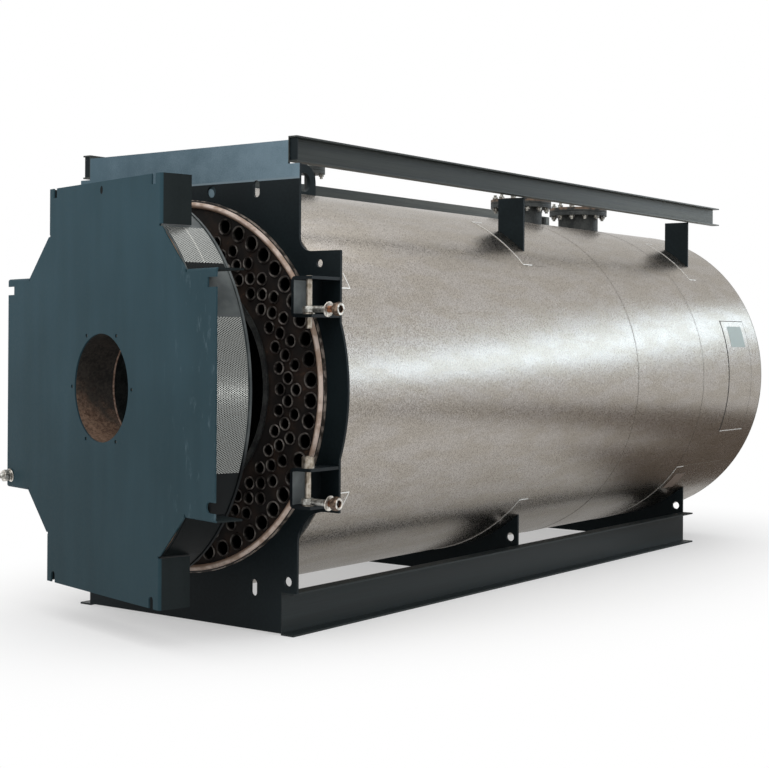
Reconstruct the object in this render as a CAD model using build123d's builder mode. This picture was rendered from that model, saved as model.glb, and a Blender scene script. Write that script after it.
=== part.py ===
"""Industrial three-pass hot-water boiler on a skid frame, front door ajar.

Millimetres, +Z up. X = 0 is the boiler's middle plane, Y = 0 the front face of the
front plate, Z = 0 the floor under the skid rails. Y grows from the front to the rear.
The door is built closed in its own sizes and turned into the pose of the photograph,
which is the rest pose.
"""
import math
import os
from build123d import *

# driving dimensions, and the clearances between what they size
SHELL_R, SHELL_T = 906.0, 9.0   # pressure shell
SHELL_CLEAR = 234.0             # floor to the shell's underside
AXIS_Z = SHELL_R + SHELL_CLEAR  # boiler axis above the floor
ROOF_Z = AXIS_Z + SHELL_R       # the shell's crown
SHELL_Y0, SHELL_Y1 = -18.0, 4560.0
WOOL_T, JACKET_T = 92.5, 1.5    # insulation and the sheet over it
JACKET_R = SHELL_R + WOOL_T + JACKET_T
JACKET_SEAMS = (20.0, 2890.0, 3810.0, 4737.0)
PLATE_T = 14.0                  # front plate
PLATE_RIM = 24.0                # plate past the jacket at the sides
BULGE_R = JACKET_R + PLATE_RIM
EAR_FLAT, EAR_REACH = 48.0, 242.0
EAR_HW = BULGE_R - EAR_FLAT     # half widths over the ears and between them
PLATE_HW = EAR_HW - EAR_REACH
EAR_Z = (AXIS_Z - SHELL_R + 356, AXIS_Z + SHELL_R - 270)
RAIL_LEN_LOW, RAIL_LEN_UP = 4253.0, 4650.0
LOW_INSET, LOW_H, LOW_B, LOW_S, LOW_F = 94.2, 200.0, 76.0, 5.2, 9.0
UP_INSET, UP_RISE, UP_H, UP_B, UP_S, UP_F = 68.8, 146.0, 120.0, 52.0, 4.8, 7.8
LOW_WEB, UP_WEB = PLATE_HW - LOW_INSET, PLATE_HW - UP_INSET
UP_Z = ROOF_Z + UP_RISE         # underside of the upper rails
PLATE_TOP = UP_Z + 102
FRAME_Y = (2078.0, 4239.0)      # front faces of the two frame plates
FRAME_T, FRAME_GAP = 14.0, 26.0
TUBE_PLATE_Y, TUBE_PLATE_T = -2.0, 20.0
SMALL_BORE, LARGE_BORE = 25.0, 33.0
TUBE_BAND = 361.0               # from the furnace to the shell, room for the tube rings
FURNACE_R, FURNACE_T, FURNACE_Y1 = SHELL_R - TUBE_BAND, 14.0, 3600.0
SMALL_RINGS = tuple(FURNACE_R + gap for gap in (85, 134, 182))
LARGE_RING = SHELL_R - 91
ROPE_R, ROPE_WIRE, ROPE_Y = SHELL_R - 24, 14.0, -16.0
PIN_X, PIN_Y, PIN_R = EAR_HW - 46, -163.0, 14.0
BORE_R = PIN_R + 0.05           # running fit on the pins
DOOR_OPEN = 14.0                # degrees open in the photograph
COVER_Y, COVER_T = -265.0, 8.0  # front face of the door's cover plate when closed
DRUM_R, DRUM_T, DISC_R, DISC_Y, DISC_T = SHELL_R - 6, 6.0, SHELL_R - 1, -35.5, 12.0
LINING_Y = -190.0               # the lining's thin part ends here, the chamber begins
CHAMBER_R = (FURNACE_R + 15, SHELL_R - 56)
BURNER_R, BURNER_PCD, BURNER_BOLT_R = 253.0, 560.0, 9.0
DOOR_HW, DOOR_HH = EAR_HW - 6, SHELL_R + 54     # half width and height of the cover
TAB_TOP, TAB_LOW = AXIS_Z + SHELL_R - 376, AXIS_Z - SHELL_R + 372
CUT_TOP = (SHELL_R - 378, AXIS_Z + SHELL_R - 180)   # where the cover's diagonals end
CUT_LOW = (SHELL_R - 373, AXIS_Z - SHELL_R + 184)
TAB_X = SHELL_R - 175
BEND_R = 13.0                   # outside of the cover's bends
BRACKET_T, BRACKET_IN, BRACKET_BEND = 14.0, 119.0, 20.0
UPPER_BR = (ROOF_Z - 576, ROOF_Z - 393)
LOWER_BR = (AXIS_Z - SHELL_R + 387, AXIS_Z - SHELL_R + 568)
NOTCH_TOP, NOTCH_LOW = UPPER_BR[1] - 43, LOWER_BR[0] + 45.5
NOZZLES_Y, PIPE_R, PIPE_T, FLANGE_R, FLANGE_T = (3147.0, 3907.0), 136.5, 8.0, 197.5, 26.0
NOZZLE_Z, NECK_FLOOR = ROOF_Z + 190, ROOF_Z + 4
SAFETY_Y, SAFETY_R, SAFETY_T, SAFETY_FLANGE, SAFETY_Z = 968.0, 30.0, 4.0, 82.5, ROOF_Z + 217
SOCKET_Y, SOCKET_R = 3440.0, 18.0
LUG_X, LUG_Y, LUG_T, LUG_Z = 150.0, 727.0, 20.0, ROOF_Z + 144
PANEL_Y, PANEL_LEN, PANEL_T = 4200.0, 360.0, 2.5
GASKET_T = 2.0

os.makedirs("parts", exist_ok=True)


def xz(y, z=0.0):
    """Sketch plane in X-Z at a given Y, its origin at height z; it faces the front."""
    return Plane(origin=(0, y, z), x_dir=(1, 0, 0), z_dir=(0, -1, 0))


def save(part, name):
    part.label = name
    export_step(part, os.path.join("parts", name + ".step"))


def door_pose(part):
    """Turn a part built closed into the photograph's pose."""
    return part.rotate(Axis((-PIN_X, PIN_Y, 0), (0, 0, 1)), -DOOR_OPEN)


def disc(radius, y0, y1, inner=0.0, z=AXIS_Z):
    """Round plate or ring about the boiler axis from y0 to y1."""
    with BuildPart() as p:
        with BuildSketch(xz(y0, z)):
            Circle(radius)
            if inner:
                Circle(inner, mode=Mode.SUBTRACT)
        extrude(amount=y0 - y1)
    return p.part


def block(x0, x1, y0, y1, z0, z1):
    return Pos((x0 + x1) / 2, (y0 + y1) / 2, (z0 + z1) / 2) * Box(x1 - x0, y1 - y0, z1 - z0)


def rod(x, y, z0, z1, radius, inner=0.0):
    """Upright cylinder, or tube if inner is given."""
    body = Pos(x, y, (z0 + z1) / 2) * Cylinder(radius, z1 - z0)
    if inner:
        body -= Pos(x, y, (z0 + z1) / 2) * Cylinder(inner, z1 - z0)
    return body


def both(part):
    """The part and its mirror image about the middle plane."""
    return part + mirror(part, about=Plane.YZ)


def quarter(cx, cz, radius, sx, sz):
    """Middle point of a quarter circle, on the side of its centre that sx and sz give."""
    half = radius * math.sqrt(0.5)
    return cx + sx * half, cz + sz * half


# the slots in jacket and insulation that the frame plates and the fittings pass through
CROWN_Z, SKIRT_Z = AXIS_Z + JACKET_R + 60, AXIS_Z - JACKET_R - 40
slots = []
for y, inset in zip(FRAME_Y, (309.0, 284.0)):
    y0, y1 = y - FRAME_GAP, y + FRAME_T + FRAME_GAP
    x_in, x_out = PLATE_HW - inset, PLATE_HW - 29
    slots += [block(x_in, x_out, y0, y1, AXIS_Z + 360, CROWN_Z),
              block(-x_out, -x_in, y0, y1, AXIS_Z + 360, CROWN_Z),
              block(-x_out + 15, x_out - 15, y0, y1, SKIRT_Z, AXIS_Z - 440)]
lug_slots = [block(s * LUG_X - LUG_T / 2 - 2, s * LUG_X + LUG_T / 2 + 2, LUG_Y - 107, LUG_Y + 107,
                   ROOF_Z - 146, CROWN_Z) for s in (-1, 1)]
neck_holes = [rod(0, y, ROOF_Z - 146, CROWN_Z, radius + 1)
              for y, radius in ((NOZZLES_Y[0], PIPE_R), (NOZZLES_Y[1], PIPE_R),
                                (SAFETY_Y, SAFETY_R), (SOCKET_Y, SOCKET_R))]

# front plate: one flat sheet with ears, a round hole for the shell, and slots
with BuildPart() as front_plate:
    with BuildSketch(xz(0)):
        with BuildLine():
            low, top, r_low, r_top = *EAR_Z, 160.0, 70.0
            Polyline((0, 8), (LOW_WEB, 8), (LOW_WEB, LOW_H), (PLATE_HW, LOW_H),
                     (PLATE_HW, low - r_low))
            ThreePointArc((PLATE_HW, low - r_low),
                          quarter(PLATE_HW + r_low, low - r_low, r_low, -1, 1),
                          (PLATE_HW + r_low, low))
            rise = math.sqrt(BULGE_R ** 2 - EAR_HW ** 2)
            Polyline((PLATE_HW + r_low, low), (EAR_HW, low), (EAR_HW, AXIS_Z - rise))
            ThreePointArc((EAR_HW, AXIS_Z - rise), (BULGE_R, AXIS_Z), (EAR_HW, AXIS_Z + rise))
            Polyline((EAR_HW, AXIS_Z + rise), (EAR_HW, top), (PLATE_HW + r_top, top))
            ThreePointArc((PLATE_HW + r_top, top),
                          quarter(PLATE_HW + r_top, top + r_top, r_top, -1, -1),
                          (PLATE_HW, top + r_top))
            Polyline((PLATE_HW, top + r_top), (PLATE_HW, UP_Z - 8), (UP_WEB, UP_Z - 8),
                     (UP_WEB, PLATE_TOP), (0, PLATE_TOP), (0, 8))
        make_face()
        mirror(about=Plane.YZ)
        with Locations((0, AXIS_Z)):
            Circle(SHELL_R, mode=Mode.SUBTRACT)
        for s in (-1, 1):
            with Locations((s * (PLATE_HW - 262.5), PLATE_TOP - 216),
                           (s * (PLATE_HW - 262), LOW_H + 5)):
                SlotOverall(80, 39, rotation=90, mode=Mode.SUBTRACT)
            with Locations((s * 185, PLATE_TOP - 216)):
                Circle(27.5, mode=Mode.SUBTRACT)
            with Locations((s * (EAR_HW - 121), EAR_Z[1] - 57)):
                Circle(18.5, mode=Mode.SUBTRACT)
            with Locations((s * (PLATE_HW - 54), LOW_H + 52)):
                Circle(22.5, mode=Mode.SUBTRACT)
    extrude(amount=-PLATE_T)
save(front_plate.part, "front_plate")


def channel(web, z0, height, breadth, thick, flange, length):
    """Channel rail on the right side, its flanges pointing outwards."""
    with BuildPart() as p:
        with BuildSketch(xz(0)):
            Polygon((web, z0), (web + breadth, z0), (web + breadth, z0 + flange),
                    (web + thick, z0 + flange), (web + thick, z0 + height - flange),
                    (web + breadth, z0 + height - flange), (web + breadth, z0 + height),
                    (web, z0 + height), align=None)
        extrude(amount=-length)
    return p.part


save(both(channel(LOW_WEB, 0, LOW_H, LOW_B, LOW_S, LOW_F, RAIL_LEN_LOW)), "lower_rails")
save(both(channel(UP_WEB, UP_Z, UP_H, UP_B, UP_S, UP_F, RAIL_LEN_UP)), "upper_rails")

# frame plates: saddles under the shell, bracket plates under the upper rails
for y, saddle, bracket in zip(FRAME_Y, ("middle_saddle", "rear_saddle"),
                              ("upper_bracket_mid", "upper_bracket_rear")):
    with BuildPart() as plate:
        with BuildSketch(xz(y)):
            wide = LOW_WEB + LOW_S
            tall = AXIS_Z - math.sqrt(SHELL_R ** 2 - wide ** 2) + 16
            Polygon((-LOW_WEB, 8), (LOW_WEB, 8), (LOW_WEB, LOW_H), (wide, LOW_H), (wide, tall),
                    (-wide, tall), (-wide, LOW_H), (-LOW_WEB, LOW_H), align=None)
            with Locations((0, AXIS_Z)):
                Circle(SHELL_R, mode=Mode.SUBTRACT)
            with Locations((50 - wide, LOW_H + 43), (wide - 50, LOW_H + 43)):
                Circle(25, mode=Mode.SUBTRACT)
        extrude(amount=-FRAME_T)
    save(plate.part, saddle)
    with BuildPart() as plate:
        with BuildSketch(xz(y)):
            for s in (-1, 1):
                x_in, x_out = s * (UP_WEB + UP_S - 170), s * (UP_WEB + UP_S)
                Polygon((x_in, AXIS_Z + 560), (x_out, AXIS_Z + 560), (x_out, UP_Z), (x_in, UP_Z),
                        align=None)
            with Locations((0, AXIS_Z)):
                Circle(SHELL_R, mode=Mode.SUBTRACT)
        extrude(amount=-FRAME_T)
    save(plate.part, bracket)

# pressure vessel: shell, tube plate, furnace, and the closed water space as one solid
shell = disc(SHELL_R, SHELL_Y0, SHELL_Y1, SHELL_R - SHELL_T)
save(shell, "pressure_shell")

with BuildPart() as front_tube_plate:
    with BuildSketch(xz(TUBE_PLATE_Y, AXIS_Z)):
        Circle(SHELL_R - SHELL_T)
        Circle(FURNACE_R, mode=Mode.SUBTRACT)
        for ring, start in zip(SMALL_RINGS, (0, 4.5, 0)):
            with PolarLocations(ring, 40, start_angle=start):
                RegularPolygon(SMALL_BORE, 10, mode=Mode.SUBTRACT)
        angles = [math.radians((k + 0.5) * 20 / 3) for k in range(54) if not 11 <= k <= 15]
        spots = [(LARGE_RING * math.cos(a), LARGE_RING * math.sin(a)) for a in angles]
        with Locations(*spots):
            RegularPolygon(LARGE_BORE, 10, mode=Mode.SUBTRACT)
    extrude(amount=-TUBE_PLATE_T)
save(front_tube_plate.part, "front_tube_plate")

with BuildPart() as furnace_tube:
    with BuildSketch(xz(TUBE_PLATE_Y, AXIS_Z)):
        Circle(FURNACE_R)
    extrude(amount=TUBE_PLATE_Y - FURNACE_Y1)
    with BuildSketch(xz(TUBE_PLATE_Y, AXIS_Z)):
        Circle(FURNACE_R - FURNACE_T)
    extrude(amount=TUBE_PLATE_Y - FURNACE_Y1 + FURNACE_T, mode=Mode.SUBTRACT)
save(furnace_tube.part, "furnace_tube")
save(disc(FURNACE_R + 13, TUBE_PLATE_Y - 10, TUBE_PLATE_Y, FURNACE_R - FURNACE_T),
     "furnace_mouth_ring")

core = disc(SHELL_R - SHELL_T, TUBE_PLATE_Y + TUBE_PLATE_T, SHELL_Y1)
core -= disc(FURNACE_R, TUBE_PLATE_Y, FURNACE_Y1)
save(core, "boiler_core")

with BuildPart() as sealing_rope:
    with BuildSketch(Plane.YZ):
        with Locations((ROPE_Y, AXIS_Z + ROPE_R)):
            RegularPolygon(ROPE_WIRE, 8, major_radius=True, rotation=0)
    revolve(axis=Axis((0, 0, AXIS_Z), (0, 1, 0)))
save(sealing_rope.part, "sealing_rope")

# heat insulation and the jacket sheets over it, open where plates and necks pass
holes = slots + lug_slots + neck_holes
insulation = disc(JACKET_R - JACKET_T, PLATE_T, JACKET_SEAMS[-1], SHELL_R + 0.3) - holes
save(insulation, "insulation")
for name, y0, y1 in zip(("jacket_front", "jacket_middle", "jacket_rear"),
                        JACKET_SEAMS, JACKET_SEAMS[1:]):
    sheet = disc(JACKET_R, y0, y1, JACKET_R - JACKET_T)
    sheet -= [h for h in holes if h.bounding_box().max.Y > y0 and h.bounding_box().min.Y < y1]
    save(sheet, name)
FLUE_R, FLUE_T = 200.0, 6.0
save(disc(JACKET_R, JACKET_SEAMS[-1], JACKET_SEAMS[-1] + 6, FLUE_R), "rear_cover")
save(disc(FLUE_R, SHELL_Y1, JACKET_SEAMS[-1] + 70, FLUE_R - FLUE_T), "flue_collar")

with BuildPart() as access_panel:
    with BuildSketch(xz(PANEL_Y, AXIS_Z)):
        with BuildLine():
            a = math.radians(21.7)
            r0, r1 = JACKET_R, JACKET_R + PANEL_T
            ThreePointArc((r0 * math.cos(a), -r0 * math.sin(a)), (r0, 0),
                          (r0 * math.cos(a), r0 * math.sin(a)))
            ThreePointArc((r1 * math.cos(a), -r1 * math.sin(a)), (r1, 0),
                          (r1 * math.cos(a), r1 * math.sin(a)))
            Line((r0 * math.cos(a), -r0 * math.sin(a)), (r1 * math.cos(a), -r1 * math.sin(a)))
            Line((r0 * math.cos(a), r0 * math.sin(a)), (r1 * math.cos(a), r1 * math.sin(a)))
        make_face()
    extrude(amount=-PANEL_LEN)
save(access_panel.part, "access_panel")

# roof fittings, standing on the shell
shell_solid = disc(SHELL_R, SHELL_Y0, SHELL_Y1)


def neck(y, radius, wall, flange_r, z0, flange_t):
    """Pipe neck on top of the shell with its welded flange, closed over the shell's crown."""
    bore, z1 = radius - wall, z0 + flange_t
    tube = rod(0, y, ROOF_Z - 56, z1, radius) - rod(0, y, NECK_FLOOR, z1, bore)
    return (tube - shell_solid) + rod(0, y, z0, z1, flange_r, bore)


def loose_flange(y, bore, flange_r, z, thick, gasket_r):
    """Gasket and the loose flange on it."""
    return rod(0, y, z, z + GASKET_T, gasket_r, bore) + rod(
        0, y, z + GASKET_T, z + GASKET_T + thick, flange_r, bore)


for y, name in zip(NOZZLES_Y, ("supply_nozzle", "return_nozzle")):
    save(neck(y, PIPE_R, PIPE_T, FLANGE_R, NOZZLE_Z, FLANGE_T), name)
pair = [loose_flange(y, PIPE_R - PIPE_T, FLANGE_R, NOZZLE_Z + FLANGE_T, FLANGE_T, PIPE_R + 28.5)
        for y in NOZZLES_Y]
save(pair[0] + pair[1], "counter_flanges")
save(neck(SAFETY_Y, SAFETY_R, SAFETY_T, SAFETY_FLANGE, SAFETY_Z, 18)
     + loose_flange(SAFETY_Y, SAFETY_R - SAFETY_T, SAFETY_FLANGE, SAFETY_Z + 18, 18,
                    SAFETY_R + 21), "safety_nozzle")
save(rod(0, SOCKET_Y, ROOF_Z - 16, ROOF_Z + 154, SOCKET_R, SOCKET_R - 7) - shell_solid,
     "gauge_socket")

with BuildPart() as lugs:
    for s in (-1, 1):
        with BuildSketch(Plane(origin=(s * LUG_X - LUG_T / 2, 0, 0), x_dir=(0, 1, 0),
                               z_dir=(1, 0, 0))):
            with Locations((LUG_Y, LUG_Z)):
                Circle(96)
            with Locations((LUG_Y, LUG_Z - 90)):
                Rectangle(192, 180)
            with Locations((LUG_Y, LUG_Z)):
                Circle(50, mode=Mode.SUBTRACT)
        extrude(amount=LUG_T)
save(lugs.part - shell_solid, "lifting_lugs")

# the four U brackets on the front plate, their pins and the washers on them
for name, (z0, z1) in (("upper_hinge_brackets", UPPER_BR), ("lower_hinge_brackets", LOWER_BR)):
    x_web = EAR_HW - BRACKET_IN
    u = block(x_web, EAR_HW - 1, PIN_Y - 37, 0, z0, z1)
    u = fillet([e for e in u.edges().filter_by(Axis.Y) if e.center().X < x_web + 1],
               BRACKET_BEND)
    gap = block(x_web + BRACKET_T, EAR_HW, PIN_Y - 38, 1, z0 + BRACKET_T, z1 - BRACKET_T)
    gap = fillet([e for e in gap.edges().filter_by(Axis.Y) if e.center().X < EAR_HW - 50],
                 BRACKET_BEND - BRACKET_T)
    u = u - gap - rod(PIN_X, PIN_Y, z0, z1, BORE_R)
    save(both(u), name)
UPPER_PIN = (UPPER_BR[0] - 49, UPPER_BR[1] + 3)
LOWER_PIN = (LOWER_BR[0] - 1, LOWER_BR[1] + 54)
WASHER_R, WASHER_T = 29.0, 10.0
save(both(rod(PIN_X, PIN_Y, *UPPER_PIN, PIN_R) + rod(PIN_X, PIN_Y, *LOWER_PIN, PIN_R)),
     "hinge_pins")
save(rod(PIN_X, PIN_Y, LOWER_BR[1], LOWER_BR[1] + 5 * WASHER_T, WASHER_R, BORE_R)
     + rod(-PIN_X, PIN_Y, LOWER_BR[1], LOWER_BR[1] + WASHER_T, WASHER_R, BORE_R), "pin_washers")

# door, built closed: cover plate with bent flanges, drum, ring, lining, burner tube
NOTCH = 10.0                    # relief beside each bend
with BuildPart() as cover_plate:
    with BuildSketch(xz(COVER_Y)):
        with BuildLine():
            (xt, zt), (xl, zl) = CUT_TOP, CUT_LOW
            deep = BEND_R + 1
            Polyline((0, AXIS_Z - DOOR_HH), (xl, AXIS_Z - DOOR_HH), (xl, zl - NOTCH),
                     (xl - deep, zl - NOTCH), (xl - deep, zl), (xl, zl),
                     (TAB_X, TAB_LOW), (TAB_X, TAB_LOW + deep), (TAB_X + NOTCH, TAB_LOW + deep),
                     (TAB_X + NOTCH, TAB_LOW), (DOOR_HW, TAB_LOW),
                     (DOOR_HW, TAB_TOP), (TAB_X + NOTCH, TAB_TOP),
                     (TAB_X + NOTCH, TAB_TOP - deep), (TAB_X, TAB_TOP - deep), (TAB_X, TAB_TOP),
                     (xt, zt), (xt - deep, zt), (xt - deep, zt + NOTCH), (xt, zt + NOTCH),
                     (xt, AXIS_Z + DOOR_HH), (0, AXIS_Z + DOOR_HH), (0, AXIS_Z - DOOR_HH))
        make_face()
        mirror(about=Plane.YZ)
        with Locations((0, AXIS_Z)):
            Circle(BURNER_R, mode=Mode.SUBTRACT)
            with PolarLocations(BURNER_PCD / 2, 6):
                Circle(BURNER_BOLT_R, mode=Mode.SUBTRACT)
        for s in (-1, 1):
            with Locations((s * DOOR_HW, NOTCH_TOP)):
                Rectangle(130, 42, mode=Mode.SUBTRACT)
            with Locations((s * DOOR_HW, NOTCH_LOW)):
                SlotOverall(130, 47, mode=Mode.SUBTRACT)
            with Locations((s * (CUT_TOP[0] - 65), AXIS_Z + DOOR_HH)):
                Rectangle(34, 92, mode=Mode.SUBTRACT)
            with Locations((s * (CUT_LOW[0] - 70.5), AXIS_Z - DOOR_HH + 4)):
                SlotOverall(100, 37, rotation=90, mode=Mode.SUBTRACT)
    extrude(amount=-COVER_T)
back, side_y, tab_y = COVER_Y + COVER_T / 2, -108.0, -126.0
flanges = (block(xt - COVER_T, xt, back, side_y, zt + NOTCH, AXIS_Z + DOOR_HH)
           + block(xl - COVER_T, xl, back, side_y, AXIS_Z - DOOR_HH, zl - NOTCH)
           + block(TAB_X + NOTCH, DOOR_HW, back, tab_y, TAB_TOP - COVER_T, TAB_TOP)
           + block(TAB_X + NOTCH, DOOR_HW, back, tab_y, TAB_LOW, TAB_LOW + COVER_T))
door_cover = cover_plate.part + (both(flanges) - disc(DRUM_R + 4, COVER_Y + COVER_T, 0))
bends = [e for e in door_cover.edges() if abs(e.center().Y - COVER_Y) < 0.1 and e.length > 120
         and min(abs(abs(e.center().X) - xt), abs(abs(e.center().X) - xl),
                 abs(e.center().Z - TAB_TOP), abs(e.center().Z - TAB_LOW)) < 0.1]
save(door_pose(fillet(bends, BEND_R)), "door_cover")
lining_r = DRUM_R - DRUM_T
save(door_pose(disc(DRUM_R, COVER_Y + COVER_T, DISC_Y - DISC_T, lining_r)), "door_drum")
save(door_pose(disc(DISC_R, DISC_Y - DISC_T, DISC_Y, CHAMBER_R[1])), "door_ring")
save(door_pose(disc(lining_r, COVER_Y + COVER_T, LINING_Y, BURNER_R + 6)), "door_lining")
save(door_pose(disc(CHAMBER_R[0], LINING_Y, DISC_Y - DISC_T, BURNER_R + 6)), "burner_block")
save(door_pose(disc(lining_r, LINING_Y, DISC_Y - DISC_T, CHAMBER_R[1])), "lining_rim")
save(door_pose(disc(BURNER_R + 6, COVER_Y + COVER_T, -60, BURNER_R)), "burner_tube")

band = disc(DRUM_R + 2, COVER_Y + 15, DISC_Y - 19.5, DRUM_R)
mesh = Part()
for z0, z1 in ((TAB_LOW + 190, TAB_TOP - 204), (TAB_TOP + 2, zt - 2), (zl, TAB_LOW - 2)):
    mesh += both(band & block(DRUM_R / 2, DRUM_R + 10, -300, 0, z0, z1))
save(door_pose(mesh), "drum_mesh")


def lug_eye(z0, z1):
    """Hinge lug from the cover's back to a left pin."""
    body = rod(-PIN_X, PIN_Y, z0, z1, 32) + block(-PIN_X - 22, -PIN_X + 22, COVER_Y + COVER_T,
                                                  PIN_Y, z0, z1)
    return body - rod(-PIN_X, PIN_Y, z0, z1, BORE_R)


save(door_pose(lug_eye(UPPER_BR[0] - 42, UPPER_BR[0] - 8)
               + lug_eye(LOWER_BR[1] + WASHER_T + 0.3, LOWER_BR[1] + WASHER_T + 38)),
     "hinge_lugs")


def swing_bolt(z, length):
    """Eye bolt along +X from an eye at the origin, at height z."""
    eye = rod(0, 0, z - 15.5, z + 15.5, 31.5)
    shank = Pos(length / 2, 0, z) * Rot(0, 90, 0) * Cylinder(15, length)
    return (eye + shank) - rod(0, 0, z - 16, z + 16, BORE_R)


def nut(x0, x1, z, washer):
    """Hexagon nut round the shank from x0 to x1 and its washer."""
    with BuildPart() as p:
        with BuildSketch(Plane(origin=(x0, 0, z), x_dir=(0, 1, 0), z_dir=(1, 0, 0))):
            RegularPolygon(27.5, 6, major_radius=False)
            Circle(15, mode=Mode.SUBTRACT)
        extrude(amount=x1 - x0)
        with BuildSketch(Plane(origin=(washer, 0, z), x_dir=(0, 1, 0), z_dir=(1, 0, 0))):
            Circle(36)
            Circle(15, mode=Mode.SUBTRACT)
        extrude(amount=6)
    return p.part


z_left = LOWER_BR[0] + 46
left = Pos(-PIN_X, PIN_Y, 0) * Rot(0, 0, -90) * (swing_bolt(z_left, 165)
                                                 + nut(110, 152, z_left, 102))
save(door_pose(left), "left_bolt")
for name, z, z_arm, wash, n0, n1 in (
        ("upper", UPPER_BR[0] + 36, UPPER_BR[0] + BRACKET_T, 108.0, 133.0, 181.0),
        ("lower", LOWER_BR[0] + 33.5, LOWER_BR[0] + BRACKET_T, 120.0, 130.0, 178.0)):
    place = Pos(PIN_X, PIN_Y, 0)
    save(place * swing_bolt(z, 187), name + "_bolt")
    save(place * nut(n0, n1, z, wash), name + "_nut")
    save(place * rod(0, 0, z_arm + 0.1, z - 15.6, 27, BORE_R), name + "_spacer")
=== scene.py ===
import math

import bmesh
import bpy
from mathutils import Matrix, Vector


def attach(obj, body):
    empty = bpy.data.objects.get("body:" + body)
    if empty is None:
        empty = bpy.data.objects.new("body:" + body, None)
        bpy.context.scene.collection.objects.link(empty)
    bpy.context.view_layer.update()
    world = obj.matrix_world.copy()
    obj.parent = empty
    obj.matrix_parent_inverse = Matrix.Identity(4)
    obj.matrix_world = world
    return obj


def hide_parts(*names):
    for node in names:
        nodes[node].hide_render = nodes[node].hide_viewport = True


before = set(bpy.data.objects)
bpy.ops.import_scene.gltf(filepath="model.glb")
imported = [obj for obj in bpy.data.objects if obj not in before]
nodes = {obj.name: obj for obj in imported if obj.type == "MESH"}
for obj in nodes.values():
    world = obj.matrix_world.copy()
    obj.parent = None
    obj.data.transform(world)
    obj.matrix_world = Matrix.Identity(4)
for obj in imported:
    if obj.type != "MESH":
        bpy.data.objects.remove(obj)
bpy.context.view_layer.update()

# Frame plates: the front plate with its ears, the saddles, the upper bracket plates and the two
# lifting lugs. Thick steel plate, flame-cut and welded on, in a thin satin blue-black coat. Above
# a masked line the front plate's face carries a lighter slate coat; a band along it is painted
# highlight.
AXIS_Z = 1.14                   # the boiler's axis above the floor, metres as everywhere
MASK_Z, HIGHLIGHT_BAND = 2.113, 0.009    # the masked line, and the height of a lighter band above it, a painted highlight
SLATE_DEPTH = 0.0005            # the slate coat is only on what lies this near the face
SHARP = math.radians(30)        # edges that turn by more than this stay crisp


class Value:
    """A number's socket with arithmetic, so that a pattern reads as a formula."""

    def __init__(self, tree, out):
        self.tree, self.out = tree, out

    def __add__(self, other):
        return self.tree.math("ADD", self, other)

    def __radd__(self, other):
        return self.tree.math("ADD", other, self)

    def __sub__(self, other):
        return self.tree.math("SUBTRACT", self, other)

    def __rsub__(self, other):
        return self.tree.math("SUBTRACT", other, self)

    def __mul__(self, other):
        return self.tree.math("MULTIPLY", self, other)

    def __rmul__(self, other):
        return self.tree.math("MULTIPLY", other, self)

    def __truediv__(self, other):
        return self.tree.math("DIVIDE", self, other)

    def __rtruediv__(self, other):
        return self.tree.math("DIVIDE", other, self)

    def __lt__(self, other):
        return self.tree.math("LESS_THAN", self, other)

    def __gt__(self, other):
        return self.tree.math("GREATER_THAN", self, other)

    def __abs__(self):
        return self.tree.math("ABSOLUTE", self)

    def most(self, other):
        return self.tree.math("MAXIMUM", self, other)

    def sin(self):
        return self.tree.math("SINE", self)

    def fract(self):
        return self.tree.math("FRACT", self)

    def atan2(self, other):
        return self.tree.math("ARCTAN2", self, other)

    def hypot(self, other):
        return self.tree.math("SQRT", self * self + other * other)

    def ramp(self, low, high, start=0.0, end=1.0):
        """Goes smoothly from start to end while the value goes from low to high."""
        made = self.tree.node("ShaderNodeMapRange", {"interpolation_type": "SMOOTHSTEP"},
                              {"Value": self, "From Min": low, "From Max": high,
                               "To Min": start, "To Max": end})
        return Value(self.tree, made.outputs["Result"])


class Tree:
    """A node tree that a section writes its pattern into."""

    def __init__(self, tree):
        self.nodes, self.links = tree.nodes, tree.links

    def feed(self, socket, given):
        """Links a socket to what is given, a list for several links, or sets it to a value."""
        for source in given if isinstance(given, list) else [given]:
            if isinstance(source, Value):
                source = source.out
            if isinstance(source, bpy.types.NodeSocket):
                self.links.new(source, socket)
            else:
                socket.default_value = source

    def node(self, kind, settings=None, inputs=None):
        """Adds a node: its settings first, then the values or links of its sockets."""
        made = self.nodes.new(kind)
        for key, setting in (settings or {}).items():
            setattr(made, key, setting)
        for key, given in (inputs or {}).items():
            self.feed(next(s for s in made.inputs if key in (s.identifier, s.name)), given)
        return made

    def math(self, operation, *numbers):
        """One step of arithmetic, for the operators of Value."""
        keys = ("Value", "Value_001")
        made = self.node("ShaderNodeMath", {"operation": operation}, dict(zip(keys, numbers)))
        return Value(self, made.outputs[0])


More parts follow.
